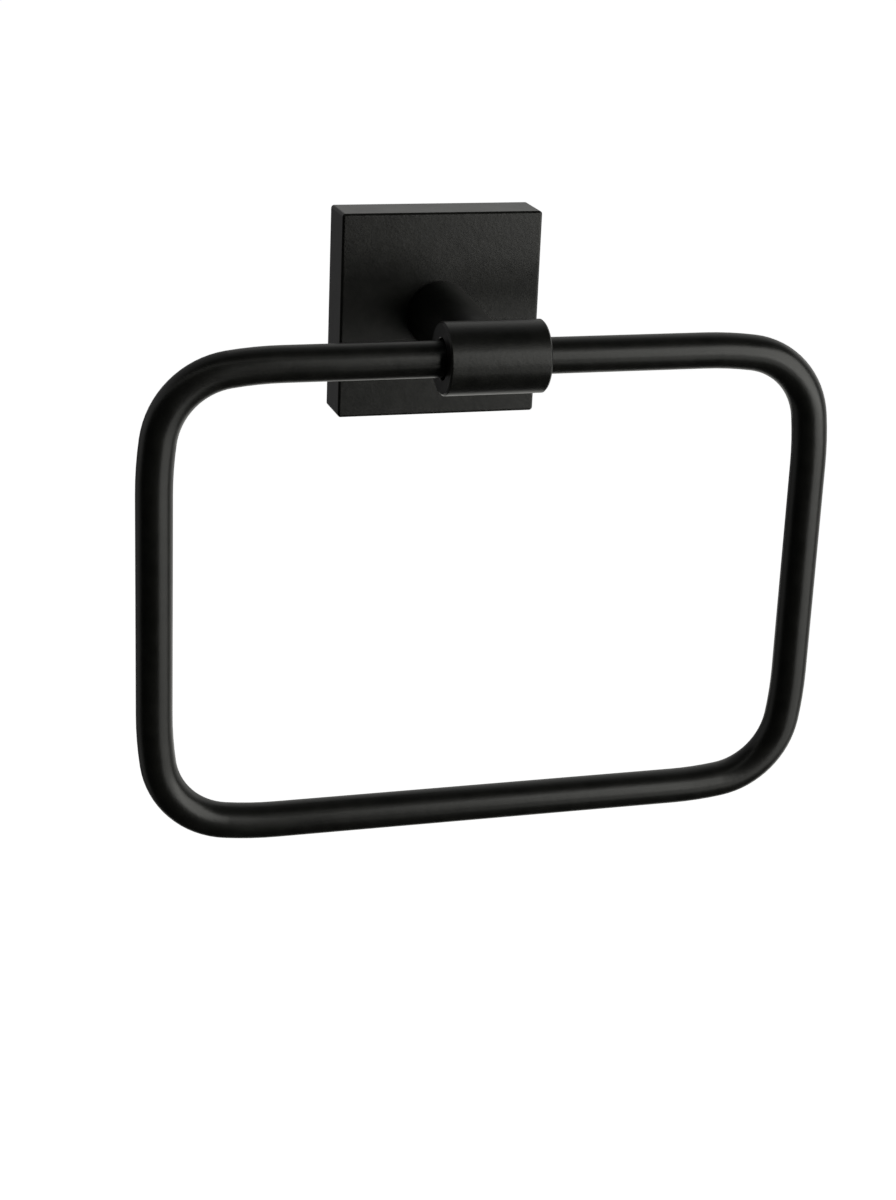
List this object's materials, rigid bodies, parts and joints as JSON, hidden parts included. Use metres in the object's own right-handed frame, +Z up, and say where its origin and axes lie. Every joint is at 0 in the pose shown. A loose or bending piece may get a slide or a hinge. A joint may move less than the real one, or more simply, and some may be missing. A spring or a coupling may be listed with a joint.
{
  "type": "towel ring",
  "caption": "Wall-mounted towel ring: a square plate and tapered post carry a barrel in which a rounded rectangular ring of round bar swings.",
  "frame": {"origin": "centre of the wall plate's back, on the wall plane and in line with the post", "axes": "+X right along the barrel as seen from the front, +Y into the wall, +Z up"},
  "size_m": [0.1698, 0.0944, 0.1425],
  "materials": {
    "black_metal": "matte black powder coat on metal",
    "black_bar": "matte black powder coat on bent bar",
    "nylon": "moulded black nylon",
    "zinc_steel": "zinc-plated steel",
    "black_steel": "black oxide steel"
  },
  "bodies": {
    "mount": {"wall_plate": "black_metal", "post": "black_metal", "barrel": "black_metal", "liner_left": "nylon", "liner_right": "nylon", "post_screw": "zinc_steel", "spring_washer": "zinc_steel", "locating_pin": "zinc_steel", "set_screw": "black_steel", "wall_bracket": "zinc_steel", "wall_screw_left": "zinc_steel", "wall_screw_right": "zinc_steel"},
    "swinging_ring": {"ring": "black_bar"}
  },
  "joints": [
    {"name": "ring_swing", "type": "hinge", "parent": "mount", "child": "swinging_ring", "pos_m": [0, -0.0554, 0], "axis": [-1, 0, 0], "range_deg": [-26, 206]}
  ]
}
